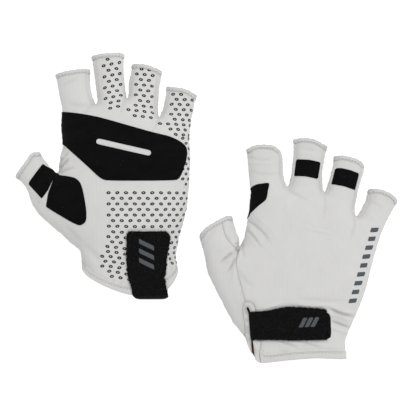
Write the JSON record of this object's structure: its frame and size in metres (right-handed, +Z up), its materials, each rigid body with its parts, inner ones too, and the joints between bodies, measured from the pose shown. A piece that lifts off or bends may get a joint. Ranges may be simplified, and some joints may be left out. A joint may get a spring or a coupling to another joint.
{
  "type": "sailing gloves",
  "caption": "Pair of fingerless sailing gloves, one palm up and one back up, with suede grip patches and hook-and-loop wrist straps.",
  "frame": {"origin": "on the ground below the middle of the pair as they lie side by side", "axes": "+X to the right glove, +Y towards the fingertips, +Z up off the ground"},
  "size_m": [0.2858, 0.2294, 0.0322],
  "materials": {
    "grey_knit": "matte stretch knit",
    "black_suede": "matte synthetic suede",
    "black_webbing": "matte woven strap",
    "black_loop": "matte hook and loop pile"
  },
  "bodies": {
    "left_hand": {"left_back_panel": "grey_knit", "left_loop_patch": "black_loop", "left_palm_grip_overlay": "black_suede", "left_palm_panel": "grey_knit", "left_slit_facing": "grey_knit", "left_strap_root": "black_webbing", "left_thenar_patch": "black_suede", "left_wrist_binding": "grey_knit"},
    "left_index": {"left_index_back": "grey_knit", "left_index_fourchette_inner": "grey_knit", "left_index_palm": "grey_knit"},
    "left_little": {"left_little_back": "grey_knit", "left_little_fourchette_outer": "grey_knit", "left_little_palm": "grey_knit"},
    "left_middle": {"left_middle_back": "grey_knit", "left_middle_back_patch": "black_suede", "left_middle_fourchette_inner": "grey_knit", "left_middle_fourchette_outer": "grey_knit", "left_middle_palm": "grey_knit"},
    "left_ring": {"left_ring_back": "grey_knit", "left_ring_back_patch": "black_suede", "left_ring_fourchette_inner": "grey_knit", "left_ring_fourchette_outer": "grey_knit", "left_ring_palm": "grey_knit"},
    "left_strap_bend": {"left_strap_fold": "black_webbing"},
    "left_strap_end": {"left_strap_tab": "black_webbing", "left_hook_pad": "black_loop"},
    "left_thumb": {"left_thumb_back": "grey_knit", "left_thumb_grip_patch": "black_suede", "left_thumb_palm": "grey_knit"},
    "right_hand": {"right_back_panel": "grey_knit", "right_loop_patch": "black_loop", "right_palm_grip_overlay": "black_suede", "right_palm_panel": "grey_knit", "right_slit_facing": "grey_knit", "right_thenar_patch": "black_suede", "right_wrist_binding": "grey_knit"},
    "right_index": {"right_index_back": "grey_knit", "right_index_fourchette_inner": "grey_knit", "right_index_palm": "grey_knit"},
    "right_little": {"right_little_back": "grey_knit", "right_little_fourchette_outer": "grey_knit", "right_little_palm": "grey_knit"},
    "right_middle": {"right_middle_back": "grey_knit", "right_middle_back_patch": "black_suede", "right_middle_fourchette_inner": "grey_knit", "right_middle_fourchette_outer": "grey_knit", "right_middle_palm": "grey_knit"},
    "right_ring": {"right_ring_back": "grey_knit", "right_ring_back_patch": "black_suede", "right_ring_fourchette_inner": "grey_knit", "right_ring_fourchette_outer": "grey_knit", "right_ring_palm": "grey_knit"},
    "right_strap_end": {"right_strap_tab": "black_webbing", "right_hook_pad": "black_loop"},
    "right_strap_root": {"right_strap_base": "black_webbing"},
    "right_thumb": {"right_thumb_back": "grey_knit", "right_thumb_grip_patch": "black_suede", "right_thumb_palm": "grey_knit"}
  },
  "joints": [
    {"name": "right_glove_lift", "type": "slide", "parent": "left_hand", "child": "right_hand", "axis": [0, 0, 1], "range_m": [0, 0.15]},
    {"name": "left_index_bend", "type": "hinge", "parent": "left_hand", "child": "left_index", "pos_m": [-0.09657, 0.0786, 0.01766], "axis": [0.9827, 0.1853, 0], "range_deg": [0, 70]},
    {"name": "left_little_bend", "type": "hinge", "parent": "left_hand", "child": "left_little", "pos_m": [-0.02287, 0.0696, 0.01739], "axis": [0.9921, -0.1251, 0], "range_deg": [0, 70]},
    {"name": "left_middle_bend", "type": "hinge", "parent": "left_hand", "child": "left_middle", "pos_m": [-0.07162, 0.085, 0.01742], "axis": [0.9928, 0.1201, 0], "range_deg": [0, 70]},
    {"name": "left_ring_bend", "type": "hinge", "parent": "left_hand", "child": "left_ring", "pos_m": [-0.04707, 0.0853, 0.01719], "axis": [0.9901, -0.1402, 0], "range_deg": [0, 70]},
    {"name": "left_strap_lift", "type": "hinge", "parent": "left_strap_bend", "child": "left_strap_end", "pos_m": [-0.04477, -0.0587, 0.02882], "axis": [1, 0, 0], "range_deg": [0, 95]},
    {"name": "left_strap_unwrap", "type": "hinge", "parent": "left_hand", "child": "left_strap_bend", "pos_m": [-0.04477, -0.0643, 0], "axis": [1, 0, 0], "range_deg": [0, 80]},
    {"name": "left_thumb_bend", "type": "hinge", "parent": "left_hand", "child": "left_thumb", "pos_m": [-0.11826, 0.01039, 0.02104], "axis": [0.4141, 0.9102, 0], "range_deg": [0, 60]},
    {"name": "right_index_bend", "type": "hinge", "parent": "right_hand", "child": "right_index", "pos_m": [0.04488, 0.0206, 0], "axis": [-0.9997, -0.0226, 0], "range_deg": [0, 70]},
    {"name": "right_little_bend", "type": "hinge", "parent": "right_hand", "child": "right_little", "pos_m": [0.12563, -0.0063, 0], "axis": [-0.9558, 0.2941, 0], "range_deg": [0, 70]},
    {"name": "right_middle_bend", "type": "hinge", "parent": "right_hand", "child": "right_middle", "pos_m": [0.07513, 0.0203, 0], "axis": [-0.9977, 0.0671, 0], "range_deg": [0, 70]},
    {"name": "right_ring_bend", "type": "hinge", "parent": "right_hand", "child": "right_ring", "pos_m": [0.10248, 0.0137, 0], "axis": [-0.9704, 0.2415, 0], "range_deg": [0, 70]},
    {"name": "right_strap_peel", "type": "hinge", "parent": "right_strap_root", "child": "right_strap_end", "pos_m": [0.05183, -0.0885, 0.02501], "axis": [0, -1, 0], "range_deg": [0, 110]},
    {"name": "right_strap_swing", "type": "hinge", "parent": "right_hand", "child": "right_strap_root", "pos_m": [0.03323, -0.0885, 0.02126], "axis": [0, -1, 0], "range_deg": [0, 140]},
    {"name": "right_thumb_bend", "type": "hinge", "parent": "right_hand", "child": "right_thumb", "pos_m": [0.01201, -0.0346, 0], "axis": [-0.8944, -0.4472, 0], "range_deg": [0, 60]}
  ]
}
